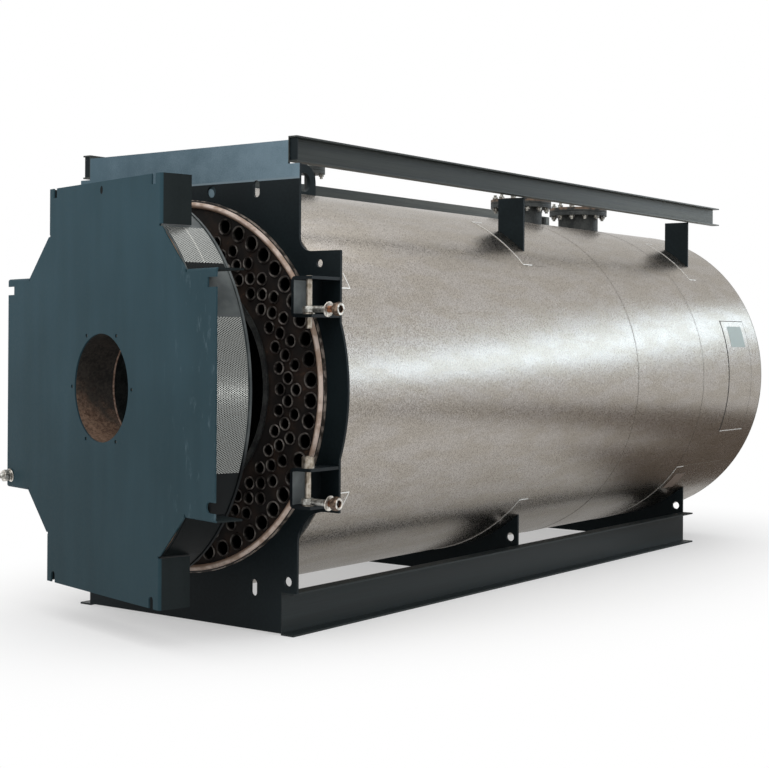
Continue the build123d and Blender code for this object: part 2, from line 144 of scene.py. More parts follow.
class Finish(Tree):
    """One finish: Object coordinates in, a Principled shader out."""

    def __init__(self, name, metallic=0.0, rough=0.5, spec=0.5):
        self.material = bpy.data.materials.new(name)
        self.material.use_nodes = True
        super().__init__(self.material.node_tree)
        self.shader = self.nodes["Principled BSDF"]
        self.set("Metallic", metallic)
        self.set("Roughness", rough)
        self.set("Specular IOR Level", spec)
        self.place = self.node("ShaderNodeTexCoord").outputs["Object"]
        self.x, self.y, self.z = self.split(self.place)

    def set(self, key, given):
        self.feed(self.shader.inputs[key], given)

    def colour(self, given):
        self.set("Base Color", given)

    def split(self, vector):
        made = self.node("ShaderNodeSeparateXYZ", inputs={"Vector": vector})
        return [Value(self, out) for out in made.outputs]

    def vector(self, x, y, z):
        return self.node("ShaderNodeCombineXYZ", inputs={"X": x, "Y": y, "Z": z}).outputs[0]

    def noise(self, scale, detail=3.0, at=None, stretch=None, rough=0.5):
        """Cloudy noise, stretched by a factor on each axis if asked."""
        at = self.place if at is None else at
        if stretch:
            at = self.vector(*(v * factor for v, factor in zip(self.split(at), stretch)))
        made = self.node("ShaderNodeTexNoise", inputs={"Vector": at, "Scale": scale,
                                                       "Detail": detail, "Roughness": rough})
        return Value(self, made.outputs["Fac"])

    def crystals(self, scale, at):
        """One random value for each crystal of a broken surface."""
        made = self.node("ShaderNodeTexVoronoi", inputs={"Vector": at, "Scale": scale})
        return self.split(made.outputs["Color"])[0]

    def mix(self, factor, low, high):
        """The colour low where the factor is 0, high where it is 1."""
        made = self.node("ShaderNodeMix", {"data_type": "RGBA"},
                         {"Factor_Float": factor, "A_Color": low, "B_Color": high})
        return next(out for out in made.outputs if out.identifier == "Result_Color")

    def bump(self, height, strength, distance):
        made = self.node("ShaderNodeBump", inputs={"Strength": strength, "Distance": distance,
                                                   "Height": height})
        self.set("Normal", made.outputs["Normal"])


def rgb(*levels):
    """A colour given as the screen shows it, 0 to 255."""
    linear = [((v / 255 + 0.055) / 1.055) ** 2.4 if v > 10 else v / 255 / 12.92 for v in levels]
    return (*linear, 1.0)


def dress(piece, finish, body=None, stands_for=()):
    """Gives a mesh its finish and soft shading; a new one also gets its body, and the CAD parts
    it stands for are hidden.
    """
    mesh = piece.data
    mesh.materials.clear()
    mesh.materials.append(finish.material)
    mesh.shade_smooth()
    mesh.set_sharp_from_angle(angle=SHARP)
    if body:
        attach(piece, body)
    if stands_for:
        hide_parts(*stands_for)


def coat(finish):
    """Thickness of a hand-sprayed coat: large clouds and fine specks."""
    return (finish.noise(2.2, 4) * 0.6 + finish.noise(70, 3) * 0.4).ramp(0.35, 0.65)


frame_paint = Finish("frame_paint", rough=0.46, spec=0.1)
tone = coat(frame_paint)
frame_paint.colour(frame_paint.mix(tone, rgb(18, 26, 29), rgb(27, 36, 39)))
frame_paint.set("Roughness", tone.ramp(0, 1, 0.42, 0.55))
frame_paint.bump(frame_paint.noise(600, 2), 0.12, 0.0004)

plate_paint = Finish("plate_paint", rough=0.46, spec=0.12)
dark = plate_paint.mix(coat(plate_paint), rgb(13, 21, 24), rgb(21, 30, 33))
cloud = plate_paint.noise(7, 5, rough=0.65) * 0.6 + plate_paint.noise(160, 3) * 0.4
slate = plate_paint.mix((plate_paint.x * 0.7 + cloud * 2.2).ramp(0.5, 1.9),
                        rgb(78, 100, 111), rgb(118, 139, 151))
masked = plate_paint.z > MASK_Z
# a lighter band just above the masked line: painted highlight
edge = masked * (plate_paint.z < MASK_Z + HIGHLIGHT_BAND)
slate = plate_paint.mix(edge, slate, rgb(122, 138, 147))
plate_paint.colour(plate_paint.mix(masked * (plate_paint.y < SLATE_DEPTH), dark, slate))
plate_paint.bump(plate_paint.noise(600, 2), 0.12, 0.0004)

dress(nodes["front_plate"], plate_paint)
for name in ("middle_saddle", "rear_saddle", "upper_bracket_mid", "upper_bracket_rear",
             "lifting_lugs"):
    dress(nodes[name], frame_paint)

# Rails: hot-rolled channels under and over the boiler, welded to the frame plates. Bare
# grey-green mill scale, streaked along their length by the rolls. The lower pair is darker,
# painted shade under the boiler; the upper pair turns lighter towards the rear, a painted
# reflection.
rail = Finish("rail_steel", rough=0.45, spec=0.3, metallic=0.2)
tone = (rail.noise(3, 4, stretch=(6, 0.12, 14)) * 0.45
        + rail.noise(45, 4, stretch=(3, 0.06, 7), rough=0.6) * 0.55)
streak = tone.ramp(0.36, 0.64)
# the lower pair darker: painted shade under the boiler
lower = rail.mix(streak, rgb(14, 22, 23), rgb(34, 42, 43))
upper = rail.mix(streak, rgb(24, 29, 28), rgb(62, 66, 63))
# the upper pair lighter towards the rear: painted reflection
painted_reflection = rail.mix(streak, rgb(64, 67, 64), rgb(112, 114, 109))
upper = rail.mix(rail.y.ramp(1.6, 4.6), upper, painted_reflection)
rail.colour(rail.mix(rail.z > AXIS_Z, lower, upper))
rail.set("Roughness", tone.ramp(0.3, 0.7, 0.42, 0.6))
rail.bump(rail.noise(300, 3), 0.15, 0.0005)
for name in ("lower_rails", "upper_rails"):
    dress(nodes[name], rail)

# Hole plugs: discs of thin plate that close the front plate's two round holes from behind. A
# lighter slate disc off-centre on each is painted light falling through the hole; the rest is
# painted shade of the hole's rim.
HOLE_X, HOLE_Z = 0.185, 2.078
PLUG_R, PLUG_T, PLUG_Y = 0.0272, 0.004, 0.0095
LIT_X, LIT_Z, LIT_R = 0.1725, 2.0695, 0.0235

plug_paint = Finish("plug_paint", rough=0.5, spec=0.1)
# a bright disc of painted light, the rest of the plug in painted shade
off = (abs(plug_paint.x) - LIT_X).hypot(plug_paint.z - LIT_Z)
plug_paint.colour(plug_paint.mix(off < LIT_R, rgb(48, 62, 67), rgb(116, 136, 146)))
for side in (-1, 1):
    bpy.ops.mesh.primitive_cylinder_add(vertices=48, radius=PLUG_R, depth=PLUG_T)
    plug = bpy.context.object
    plug.data.transform(Matrix.Translation((side * HOLE_X, PLUG_Y, HOLE_Z))
                        @ Matrix.Rotation(math.pi / 2, 4, "X"))
    plug.name = plug.data.name = "hole_plug"
    dress(plug, plug_paint, "boiler")

# Rail end plates: small plates welded into the front ends of the upper channels, set in a
# little from the end and painted like the frame.
END_PLATE_AT, END_PLATE_SIZE = (0.6905, 0.0105, 2.252), (0.0450, 0.005, 0.1052)

x, y, z = END_PLATE_AT
for side in (-1, 1):
    bpy.ops.mesh.primitive_cube_add(size=1)
    end_plate = bpy.context.object
    end_plate.data.transform(Matrix.Translation((side * x, y, z))
                             @ Matrix.Diagonal((*END_PLATE_SIZE, 1)))
    end_plate.name = end_plate.data.name = "rail_end_plate"
    dress(end_plate, frame_paint, "boiler")

# Shell and roof fittings: dull rolled steel, welded. Each large neck ends in a welded flange
# with a gasket and a loose flange on it, brown with rust, held by studs with a nut at each
# end. The shell's front rim shows bright steel where it stands out of the plate.
NECKS_Y, SAFETY_Y = (3.147, 3.907), 0.968
NECK_FLANGES = (2.236, 2.290)   # underside of the welded flange, top of the loose one
SAFETY_FLANGES = (2.263, 2.301)
NECK_BOLTS_R, SAFETY_BOLTS_R = 0.172, 0.0625
SEAT = 0.0001                   # nuts stand this far off the flange
RUST_Z = (2.272, 2.276)         # rust starts over the gasket
RIM_R, RIM_FRONT = 0.9025, -0.004   # the bright rim is outside this radius, before this depth

steel = Finish("boiler_steel", rough=0.55, metallic=0.35)
tone = steel.noise(12, 4) * 0.6 + steel.noise(80, 3) * 0.4
steel.colour(steel.mix(tone.ramp(0.38, 0.62), rgb(32, 36, 37), rgb(64, 67, 66)))
steel.bump(steel.noise(200, 3), 0.2, 0.0006)

flange_steel = Finish("loose_flange", rough=0.6, metallic=0.3)
tone = flange_steel.noise(25, 4) * 0.6 + flange_steel.noise(9, 3) * 0.4
bare = flange_steel.mix(tone.ramp(0.38, 0.6), rgb(28, 31, 31), rgb(62, 63, 60))
rusted = flange_steel.mix(tone.ramp(0.4, 0.6), rgb(66, 56, 48), rgb(118, 98, 82))
where = flange_steel.z.ramp(*RUST_Z) * tone.ramp(0.42, 0.5)
flange_steel.colour(flange_steel.mix(where, bare, rusted))
flange_steel.bump(tone, 0.3, 0.0006)

shell_steel = Finish("shell_steel", rough=0.5, metallic=0.35)
tone = shell_steel.noise(20, 4)
radius = (shell_steel.z - AXIS_Z).hypot(shell_steel.x)
rim = (radius > RIM_R) * (shell_steel.y < RIM_FRONT)
bare = shell_steel.mix(tone.ramp(0.42, 0.58), rgb(58, 52, 47), rgb(168, 156, 146))
shell_steel.colour(shell_steel.mix(rim, rgb(40, 38, 36), bare))
shell_steel.bump(tone, 0.2, 0.0006)

dress(nodes["pressure_shell"], shell_steel)
for name in ("furnace_tube", "furnace_mouth_ring", "insulation", "flue_collar",
             "supply_nozzle", "return_nozzle", "safety_nozzle", "gauge_socket"):
    dress(nodes[name], steel)
dress(nodes["counter_flanges"], flange_steel)


def ring_of_pieces():
    """Geometry Nodes: adds a ring of one piece to what comes in, some places left empty."""
    group = bpy.data.node_groups.new("ring_of_pieces", "GeometryNodeTree")
    for label, kind in (("Geometry", "Geometry"), ("Piece", "Object"), ("Places", "Int"),
                        ("Filled", "Int"), ("Radius", "Float"), ("Start", "Vector"),
                        ("Turn", "Vector"), ("Centre", "Vector"), ("Finish", "Material")):
        group.interface.new_socket(label, in_out="INPUT", socket_type="NodeSocket" + kind)
    group.interface.new_socket("Geometry", in_out="OUTPUT", socket_type="NodeSocketGeometry")
    tree = Tree(group)
    given = tree.node("NodeGroupInput").outputs

    def step(kind, output=0, settings=None, **inputs):
        return tree.node(kind, settings, inputs).outputs[output]

    circle = step("GeometryNodeMeshCircle", Vertices=given["Places"], Radius=given["Radius"])
    start = step("GeometryNodeTransform", Geometry=circle, Rotation=given["Start"])
    some = step("FunctionNodeCompare", settings={"data_type": "INT", "operation": "LESS_THAN"},
                A_INT=step("GeometryNodeInputIndex"), B_INT=given["Filled"])
    piece = step("GeometryNodeObjectInfo", "Geometry", Object=given["Piece"])
    copies = step("GeometryNodeInstanceOnPoints", Points=start, Selection=some, Instance=piece)
    moved = step("GeometryNodeTransform", Geometry=copies, Rotation=given["Turn"],
                 Translation=given["Centre"])
    joined = step("GeometryNodeJoinGeometry", Geometry=[given["Geometry"], moved])
    real = step("GeometryNodeRealizeInstances", Geometry=joined)
    painted = step("GeometryNodeSetMaterial", Geometry=real, Material=given["Finish"])
    tree.node("NodeGroupOutput", inputs={"Geometry": painted})
    return group


RINGS = ring_of_pieces()


def linked(name, mesh):
    """A new object for a mesh that is already in its place."""
    piece = bpy.data.objects.new(name, mesh)
    bpy.context.collection.objects.link(piece)
    return piece


def turned(name, profile, sides=24, hexes=()):
    """Piece turned about Z from (radius, height) points; the rows in hexes have six flats."""
    verts, faces = [], []
    for row, (radius, height) in enumerate(profile):
        for side in range(sides):
            a = math.tau * side / sides
            flat = math.cos((a + math.pi / 6) % (math.pi / 3) - math.pi / 6)
            r = radius / flat if row in hexes else radius
            verts.append((r * math.cos(a), r * math.sin(a), height))
    for row in range(len(profile) - 1):
        for side in range(sides):
            p, q = row * sides + side, row * sides + (side + 1) % sides
            faces.append((p, q, q + sides, p + sides))
    mesh = bpy.data.meshes.new(name)
    mesh.from_pydata(verts, [], faces)
    work = bmesh.new()
    work.from_mesh(mesh)
    bmesh.ops.remove_doubles(work, verts=work.verts, dist=1e-6)
    bmesh.ops.recalc_face_normals(work, faces=work.faces)
    work.to_mesh(mesh)
    work.free()
    return bpy.data.objects.new(name, mesh)


def rings(name, piece, finish, rows, turn=(0, 0, 0)):
    """One mesh with rings of the piece: (places, filled, radius, start degrees, centre)."""
    made = linked(name, bpy.data.meshes.new(name))
    keys = {item.name: item.identifier for item in RINGS.interface.items_tree
            if item.in_out == "INPUT"}
    for places, filled, radius, start, centre in rows:
        modifier = made.modifiers.new("ring", "NODES")
        modifier.node_group = RINGS
        for key, given in (("Piece", piece), ("Places", places), ("Filled", filled),
                           ("Radius", radius), ("Start", (0.0, 0.0, math.radians(start))),
                           ("Turn", turn), ("Centre", centre), ("Finish", finish.material)):
            modifier[keys[key]] = given
    view = bpy.context.evaluated_depsgraph_get()
    made.data = bpy.data.meshes.new_from_object(made.evaluated_get(view))
    made.modifiers.clear()
    bpy.data.objects.remove(piece)
    return made


def stud(flanges, stud_r, nut_r, nut_h):
    """Stud from below the lower flange to above the upper one, with a nut at each end."""
    low, high = flanges[0] - SEAT, flanges[1] + SEAT
    return turned("stud", [(0, low - nut_h - 0.012), (stud_r, low - nut_h - 0.011),
                           (stud_r, low - nut_h), (nut_r, low - nut_h), (nut_r, low),
                           (nut_r, high), (nut_r, high + nut_h), (stud_r, high + nut_h),
                           (stud_r, high + nut_h + 0.014), (0, high + nut_h + 0.016)],
                  hexes=(3, 4, 5, 6))


stud_steel = Finish("flange_studs", rough=0.5, metallic=0.55)
tone = stud_steel.noise(70, 4)
stud_steel.colour(stud_steel.mix(tone.ramp(0.4, 0.6), rgb(92, 90, 86), rgb(190, 188, 180)))
stud_steel.bump((stud_steel.z * (math.tau / 0.003)).sin(), 0.25, 0.0004)

neck_stud = stud(NECK_FLANGES, stud_r=0.010, nut_r=0.0150, nut_h=0.016)
dress(rings("flange_studs", neck_stud, stud_steel,
            [(12, 12, NECK_BOLTS_R, 15, (0, y, 0)) for y in NECKS_Y]), stud_steel, "boiler")
safety_stud = stud(SAFETY_FLANGES, stud_r=0.008, nut_r=0.012, nut_h=0.013)
dress(rings("safety_studs", safety_stud, stud_steel,
            [(4, 4, SAFETY_BOLTS_R, 45, (0, SAFETY_Y, 0))]), stud_steel, "boiler")

# Jacket: three lengths of galvanised sheet rolled round the wool, each lapped over the one
# before it by a finger's width. Fine crystals make it sparkle. Windows are cut through it where
# the frame plates and the lifting lugs pass.
JACKET_R, SHEET = 1.0, 0.0015
SEAMS = (0.020, 2.890, 3.810, 4.737)
LAP, LAP_RISE = 0.012, 0.0004   # how far and how high one length lies over the next
FACET = 2.5                     # degrees of one flat of a rolled sheet
PLATE_T, PLATE_GAP = 0.014, 0.026   # a frame plate, and the window's room on either side
PLATE_WINDOWS = ((2.078, 0.425), (4.239, 0.450))    # front face of a plate, inner edge above
WINDOW_OUT, WINDOW_FOOT = 0.705, 0.690      # outer edge above, and edge under the boiler
LUG_X, LUG_HALF, LUG_Y = 0.15, 0.012, (0.620, 0.834)

jacket = Finish("jacket_sheet", metallic=1.0, rough=0.36)
angle = (jacket.z - AXIS_Z).atan2(jacket.x)
skin = jacket.vector(angle * JACKET_R, jacket.y, 0.0)
crystal = jacket.crystals(260, skin)
grain = jacket.noise(230, 2, at=skin, rough=0.6)
smear = jacket.noise(5, 4, at=jacket.vector(angle * 2.5, jacket.y * 0.6, 0.0))
sparkle = crystal * 0.5 + grain * 0.5
spot = sparkle.ramp(0.25, 0.75)
clean = jacket.mix(spot, rgb(147, 142, 136), rgb(184, 178, 172))
dull = jacket.mix(spot, rgb(142, 136, 128), rgb(178, 171, 162))
jacket.colour(jacket.mix(smear.ramp(0.4, 0.6), clean, dull))
jacket.set("Roughness", (crystal * 0.6 + smear * 0.4).ramp(0.2, 0.8, 0.22, 0.31))
jacket.bump(sparkle, 0.35, 0.0005)
jacket.set("Specular Tint", (0.72, 0.71, 0.69, 1))

end_sheet = Finish("end_sheet", metallic=1.0, rough=0.38)
grain = end_sheet.noise(85, 4, rough=0.7)
end_sheet.colour(end_sheet.mix(grain.ramp(0.3, 0.7), rgb(126, 121, 114), rgb(190, 184, 176)))
end_sheet.bump(grain, 0.4, 0.0012)
dress(nodes["rear_cover"], end_sheet)


def at_x(x):
    """Angle, in degrees, at which the jacket is x wide of the middle plane."""
    return math.degrees(math.acos(x / JACKET_R))


WINDOWS = []
for y, inner in PLATE_WINDOWS:
    y0, y1 = y - PLATE_GAP, y + PLATE_T + PLATE_GAP
    WINDOWS += [(at_x(WINDOW_OUT), at_x(inner), y0, y1),
                (180 - at_x(inner), 180 - at_x(WINDOW_OUT), y0, y1),
                (at_x(WINDOW_FOOT) - 180, -at_x(WINDOW_FOOT), y0, y1)]
WINDOWS += [(at_x(x + LUG_HALF), at_x(x - LUG_HALF), *LUG_Y) for x in (-LUG_X, LUG_X)]


def about_axis(radius, degrees, y):
    """Point at a radius and an angle about the boiler's axis."""
    a = math.radians(degrees)
    return (radius * math.cos(a), y, AXIS_Z + radius * math.sin(a))


def rolled(name, radius, y0, y1, a0=-180.0, a1=180.0, windows=(), thick=SHEET):
    """Rolled sheet between two angles, windows cut through it, its thickness inwards."""
    windows = [w for w in windows if w[3] > y0 and w[2] < y1]
    steps = max(2, round((a1 - a0) / FACET))
    angles = {round(a0 + (a1 - a0) * i / steps, 4) for i in range(steps + 1)}
    angles = sorted(angles | {round(a, 4) for w in windows for a in w[:2]})
    ys = sorted({y0, y1} | {min(max(v, y0), y1) for w in windows for v in w[2:]})
    work = bmesh.new()
    closed_ring = a1 - a0 > 359.9
    rows = [[work.verts.new(about_axis(radius, a, y)) for y in ys]
            for a in (angles[:-1] if closed_ring else angles)]
    if closed_ring:
        rows.append(rows[0])
    for i in range(len(angles) - 1):
        a = (angles[i] + angles[i + 1]) / 2
        for j in range(len(ys) - 1):
            y = (ys[j] + ys[j + 1]) / 2
            if not any(w[0] < a < w[1] and w[2] < y < w[3] for w in windows):
                work.faces.new((rows[i][j], rows[i + 1][j], rows[i + 1][j + 1], rows[i][j + 1]))
    loose = [v for v in work.verts if not v.link_faces]
    bmesh.ops.delete(work, geom=loose, context="VERTS")
    work.normal_update()
    first = work.faces[:][0]
    middle = first.calc_center_median()
    if first.normal.dot(Vector((middle.x, 0, middle.z - AXIS_Z))) < 0:
        bmesh.ops.reverse_faces(work, faces=work.faces)
    bmesh.ops.solidify(work, geom=work.faces[:], thickness=thick)
    mesh = bpy.data.meshes.new(name)
    work.to_mesh(mesh)
    work.free()
    return linked(name, mesh)


for k, name in enumerate(("jacket_front", "jacket_middle", "jacket_rear")):
    sheet = rolled(name + "_sheet", JACKET_R + LAP_RISE * k, SEAMS[k] - (LAP if k else 0),
                   SEAMS[k + 1], windows=WINDOWS)
    dress(sheet, jacket, "boiler", [name])

# Lap lines: where one length of the jacket laps the next, a thin strip of darker sheet is laid
# on it, painted shade of the lap's edge; the rear end, hemmed over the end sheet, gets a wider
# one.
LINE_RISE, LINE_T = 0.0012, 0.001
HEM_START, HEM_WIDTH, LINE_WIDTH = 0.004, 0.009, 0.004

lap_shade = Finish("lap_shade", metallic=1.0, rough=0.4)
lap_shade.colour(rgb(137, 132, 125))
for y, wide in ((SEAMS[1] - LAP, LINE_WIDTH), (SEAMS[2] - LAP, LINE_WIDTH),
                (SEAMS[3] - HEM_START, HEM_WIDTH)):
    line = rolled("lap_line", JACKET_R + LINE_RISE, y, y + wide, windows=WINDOWS, thick=LINE_T)
    dress(line, lap_shade, "boiler")

# Closing sheets: loose pieces of the jacket's sheet laid on it round the frame plates and behind
# the ears. Their sheared edges are bright. The ones at the saddles run right round the underside.
CLOSER_RISE, EDGE_RISE, EDGE_T = 0.0016, 0.0028, 0.0012
EDGE = 0.0056                   # width of a bright sheared edge along the jacket
CORNER, EAR_CORNER, EAR_CORNER_DEG = 0.100, 0.070, 5    # lengths of edge beside a corner
# a name, from and to along the boiler, and the two angles in degrees
PLATE_CLOSERS = [("mid_closer", 1.940, 2.200, 41.1, 66.0),
                 ("rear_closer", 4.078, 4.340, 40.3, 64.5)]
EAR_CLOSERS = [("ear_closer_top", 0.022, 0.190, 27.8, 46.0),
               ("ear_closer_low", 0.022, 0.198, -50.0, -28.1)]
FOOT_CLOSERS = [("mid_foot_closer", 1.914, 2.240, -138.9, -41.1),
                ("rear_foot_closer", 3.812, 4.480, -143.7, -36.3)]

cut_edge = Finish("cut_edge", metallic=0.6, rough=0.4)
cut_edge.colour(rgb(242, 243, 241))


def on_the_left(closers):
    """The same sheets mirrored to the boiler's left side."""
    return [(name + "_left", y0, y1, 180 - a1, 180 - a0) for name, y0, y1, a0, a1 in closers]


def closer(name, y0, y1, a0, a1, edges):
    """One closing sheet with the bright edges that show."""
    dress(rolled(name, JACKET_R + CLOSER_RISE, y0, y1, a0, a1), jacket, "boiler")
    for span in edges:
        edge = rolled(name + "_edge", JACKET_R + EDGE_RISE, *span, thick=EDGE_T)
        dress(edge, cut_edge, "boiler")


edge_deg = math.degrees(EDGE)
all_closers = PLATE_CLOSERS + EAR_CLOSERS
for name, y0, y1, a0, a1 in all_closers + on_the_left(all_closers) + FOOT_CLOSERS:
    if name.startswith("ear"):      # a rear corner: the right top sheet's low one, else the last
        wide, narrow = a1 - EAR_CORNER_DEG, a1 - edge_deg
        if name == "ear_closer_top":
            wide = narrow = a0
        edges = [(y1 - EDGE * 0.8, y1, wide, wide + EAR_CORNER_DEG),
                 (y1 - EAR_CORNER, y1, narrow, narrow + edge_deg)]
    else:                           # the front edge and the corners beside it
        edges = [(y0, y0 + EDGE * 0.8, a0, a1), (y0, y0 + CORNER, a0, a0 + edge_deg),
                 (y0, y0 + CORNER, a1 - edge_deg, a1)]
    closer(name, y0, y1, a0, a1, edges)

# Access panel: a curved cover of the jacket's sheet on its right side, with a dark strip round
# it, its gap widened by painted shadow, and a bright hem along its foot. A blank plate is fixed
# near its top, and another one low on the closing sheet over the rear saddle.
PANEL_Y0, PANEL_Y1, PANEL_A = 4.200, 4.560, 21.7    # from, to, and half its angle in degrees
GAP_FRONT, GAP_REAR, GAP_DEG, GAP_T = 0.009, 0.007, 0.3, 0.0008
HEM_RISE, HEM_T, BLANK_T = 0.0034, 0.003, 0.0012
# a name, colour, roughness and height off the jacket, from and to, and the two angles
BLANKS = [("blank_plate_panel", (150, 160, 155), 0.45, 0.0038, 4.275, 4.500, 11.4, 19.6),
          ("blank_plate_foot", (122, 108, 98), 0.5, 0.0034, 3.880, 4.030, -48.2, -40.2)]

dress(nodes["access_panel"], jacket)
# dark strip round the panel: its gap and painted shadow
panel_gap = Finish("panel_gap", rough=0.8)
panel_gap.colour(rgb(40, 38, 37))
top = (PANEL_A, PANEL_A + GAP_DEG)
for span in ((PANEL_Y0 - GAP_FRONT, PANEL_Y0, -PANEL_A, top[1]),
             (PANEL_Y1, PANEL_Y1 + GAP_REAR, -PANEL_A, top[1]), (PANEL_Y0, PANEL_Y1, *top)):
    gap_shadow = rolled("panel_gap", JACKET_R + LINE_RISE, *span, thick=GAP_T)
    dress(gap_shadow, panel_gap, "boiler")
hem = rolled("panel_hem", JACKET_R + HEM_RISE, PANEL_Y0, PANEL_Y1, -PANEL_A, GAP_DEG - PANEL_A,
             thick=HEM_T)
dress(hem, cut_edge, "boiler")
for name, levels, rough, rise, y0, y1, a0, a1 in BLANKS:
    blank = Finish(name, rough=rough, metallic=0.2)
    blank.colour(rgb(*levels))
    dress(rolled(name, JACKET_R + rise, y0, y1, a0, a1, thick=BLANK_T), blank, "boiler")

# Tube plate with its smoke tubes: a thick plate bored for one ring of large and three rings of
# small steel tubes, each end rolled into a lip that stands proud of its hole. Rusted brown-black.
# The lips are lighter, worn steel with a painted highlight; deep inside, the tubes turn black,
# painted shade.
FACE_Y, FACE_T = -0.002, 0.018  # front of the tube plate, and how thick its front is made here
PLATE_R, FURNACE_R = 0.897, 0.545
SMALL_RINGS = [(40, 40, 0.630, 0.0), (40, 40, 0.679, 4.5), (40, 40, 0.727, 0.0)]
LARGE_RINGS = [(54, 49, 0.815, 110.0)]      # places, tubes, radius, start in degrees
SMALL_TUBE, LARGE_TUBE = (0.025, 0.031), (0.033, 0.0395)    # inner and outer radius
TUBE_LONG, TUBE_END = 0.5, 0.002            # depth of a bore that shows, and its closed end
LIP, LIP_LOW, LIP_ROUND = 0.0085, 0.0065, 0.0016
HOLE_ROOM = 0.0002                          # a hole is wider than its tube by this all round
BORE_SHADE_Y = (-0.005, 0.012)                   # the tubes turn black over this depth, painted shade

rust = Finish("rusty_steel", rough=0.72, spec=0.3)
a, b = rust.noise(7, 5), rust.noise(45, 5)
base = rust.mix(a.ramp(0.4, 0.62), rgb(22, 19, 18), rgb(46, 36, 30))
rust.colour(rust.mix((a * 0.5 + b * 0.5).ramp(0.57, 0.68), base, rgb(84, 60, 44)))
rust.bump(b, 0.35, 0.001)

tube_steel = Finish("tube_ends", rough=0.42, metallic=0.6)
a, b = tube_steel.noise(30, 4), tube_steel.noise(9, 3)
# lighter lips: worn steel, partly a painted highlight
lip = tube_steel.mix((a * 0.6 + b * 0.4).ramp(0.44, 0.6), rgb(44, 40, 37), rgb(124, 119, 114))
# black deep in the bores: painted shade
tube_steel.colour(tube_steel.mix(tube_steel.y.ramp(*BORE_SHADE_Y), lip, rgb(3, 3, 4)))
tube_steel.bump(a, 0.25, 0.0006)


def tube_end(bore, out):
    """A tube's end with its lip, towards +Z, its wall and bore running back to a closed end."""
    back = -TUBE_LONG - TUBE_END
    return turned("tube_end", [(0.0, back), (out, back), (out, 0.0), (out, LIP_LOW),
                               (out - LIP_ROUND, LIP), (bore + LIP_ROUND, LIP),
                               (bore, LIP_LOW), (bore, -0.032), (bore, -TUBE_LONG),
                               (0.0, -TUBE_LONG)])


to_front = (math.pi / 2, 0, 0)
circles = [(0, AXIS_Z, PLATE_R, 180), (0, AXIS_Z, FURNACE_R, 120)]
for name, tube, rows in (("small_tubes", SMALL_TUBE, SMALL_RINGS),
                         ("large_tubes", LARGE_TUBE, LARGE_RINGS)):
    tubes = rings(name, tube_end(*tube), tube_steel,
                  [(*row, (0, FACE_Y, AXIS_Z)) for row in rows], to_front)
    dress(tubes, tube_steel, "boiler", ["boiler_core"])
    for places, filled, radius, start in rows:
        for k in range(filled):
            x, _, z = about_axis(radius, start + 360 * k / places, 0)
            circles.append((x, z, tube[1] + HOLE_ROOM, 24))

work = bmesh.new()
edges = []
for x, z, radius, sides in circles:
    turns = [math.tau * i / sides for i in range(sides)]
    ring = [work.verts.new((x + radius * math.cos(a), FACE_Y, z + radius * math.sin(a)))
            for a in turns]
    edges += [work.edges.new((ring[i - 1], ring[i])) for i in range(sides)]
bmesh.ops.triangle_fill(work, edges=edges, use_beauty=True)
for face in work.faces:
    if face.normal.y > 0:
        face.normal_flip()
bmesh.ops.solidify(work, geom=work.faces[:], thickness=FACE_T)
mesh = bpy.data.meshes.new("tube_plate_face")
work.to_mesh(mesh)
work.free()
dress(linked("tube_plate_face", mesh), rust, "boiler", ["front_tube_plate"])

# Sealing rope: a woven round rope of glass yarn, laid as one closed ring inside the shell's edge
# where the door's ring presses on it. Soiled brown in patches, and darker brown along its inner
# side.
ROPE_R, ROPE_HALF, ROPE_Y = 0.882, 0.0142, -0.0162
ALONG, ROUND = 360, 16          # steps along the ring, and round the rope
WEAVE_ALONG, WEAVE_ROUND = 420.0, 300.0     # how close the woven strands lie, per metre

verts, faces = [], []
for i in range(ALONG):
    here, after = i * ROUND, (i + 1) % ALONG * ROUND
    for j in range(ROUND):
        a, beside = math.tau * j / ROUND, (j + 1) % ROUND
        verts.append(about_axis(ROPE_R + ROPE_HALF * math.cos(a), 360 * i / ALONG,
                                ROPE_Y + ROPE_HALF * math.sin(a)))
        faces.append((here + j, here + beside, after + beside, after + j))
mesh = bpy.data.meshes.new("rope_ring")
mesh.from_pydata(verts, [], faces)

rope = Finish("rope", rough=0.9, spec=0.15)
outwards = (rope.z - AXIS_Z).hypot(rope.x) - ROPE_R
arc = (rope.z - AXIS_Z).atan2(rope.x) * ROPE_R * WEAVE_ALONG
turn = (rope.y - ROPE_Y).atan2(outwards) * ROPE_HALF * WEAVE_ROUND
weave = (arc + turn).sin() * (arc - turn).sin()
yarn = rope.mix(rope.noise(14, 4).ramp(0.42, 0.62), rgb(226, 208, 196), rgb(184, 160, 143))
rope.colour(rope.mix(outwards.ramp(-0.008, 0.002, 1.0, 0.0), yarn, rgb(150, 125, 108)))
rope.bump(weave * 0.5 + rope.noise(300, 2) * 0.4, 0.6, 0.0022)
dress(linked("rope_ring", mesh), rope, "boiler", ["sealing_rope"])

# Hinge brackets: four U pieces bent from thick plate and welded to the ears. Blue-black like the
# frame; the front of the web's inner face is grey, painted light that fades to dark deeper in.
WEB_X = (0.8685, 0.8716)        # the web's inner face lies between these
WEB_Y, WEB_LIGHT_FADE = -0.1985, (-0.13, -0.09)   # front of its flat part, and where the painted light on it fades out

bracket_paint = Finish("bracket_paint", rough=0.4, spec=0.15)
tone = bracket_paint.noise(8, 4).ramp(0.35, 0.65)
side = abs(bracket_paint.x)
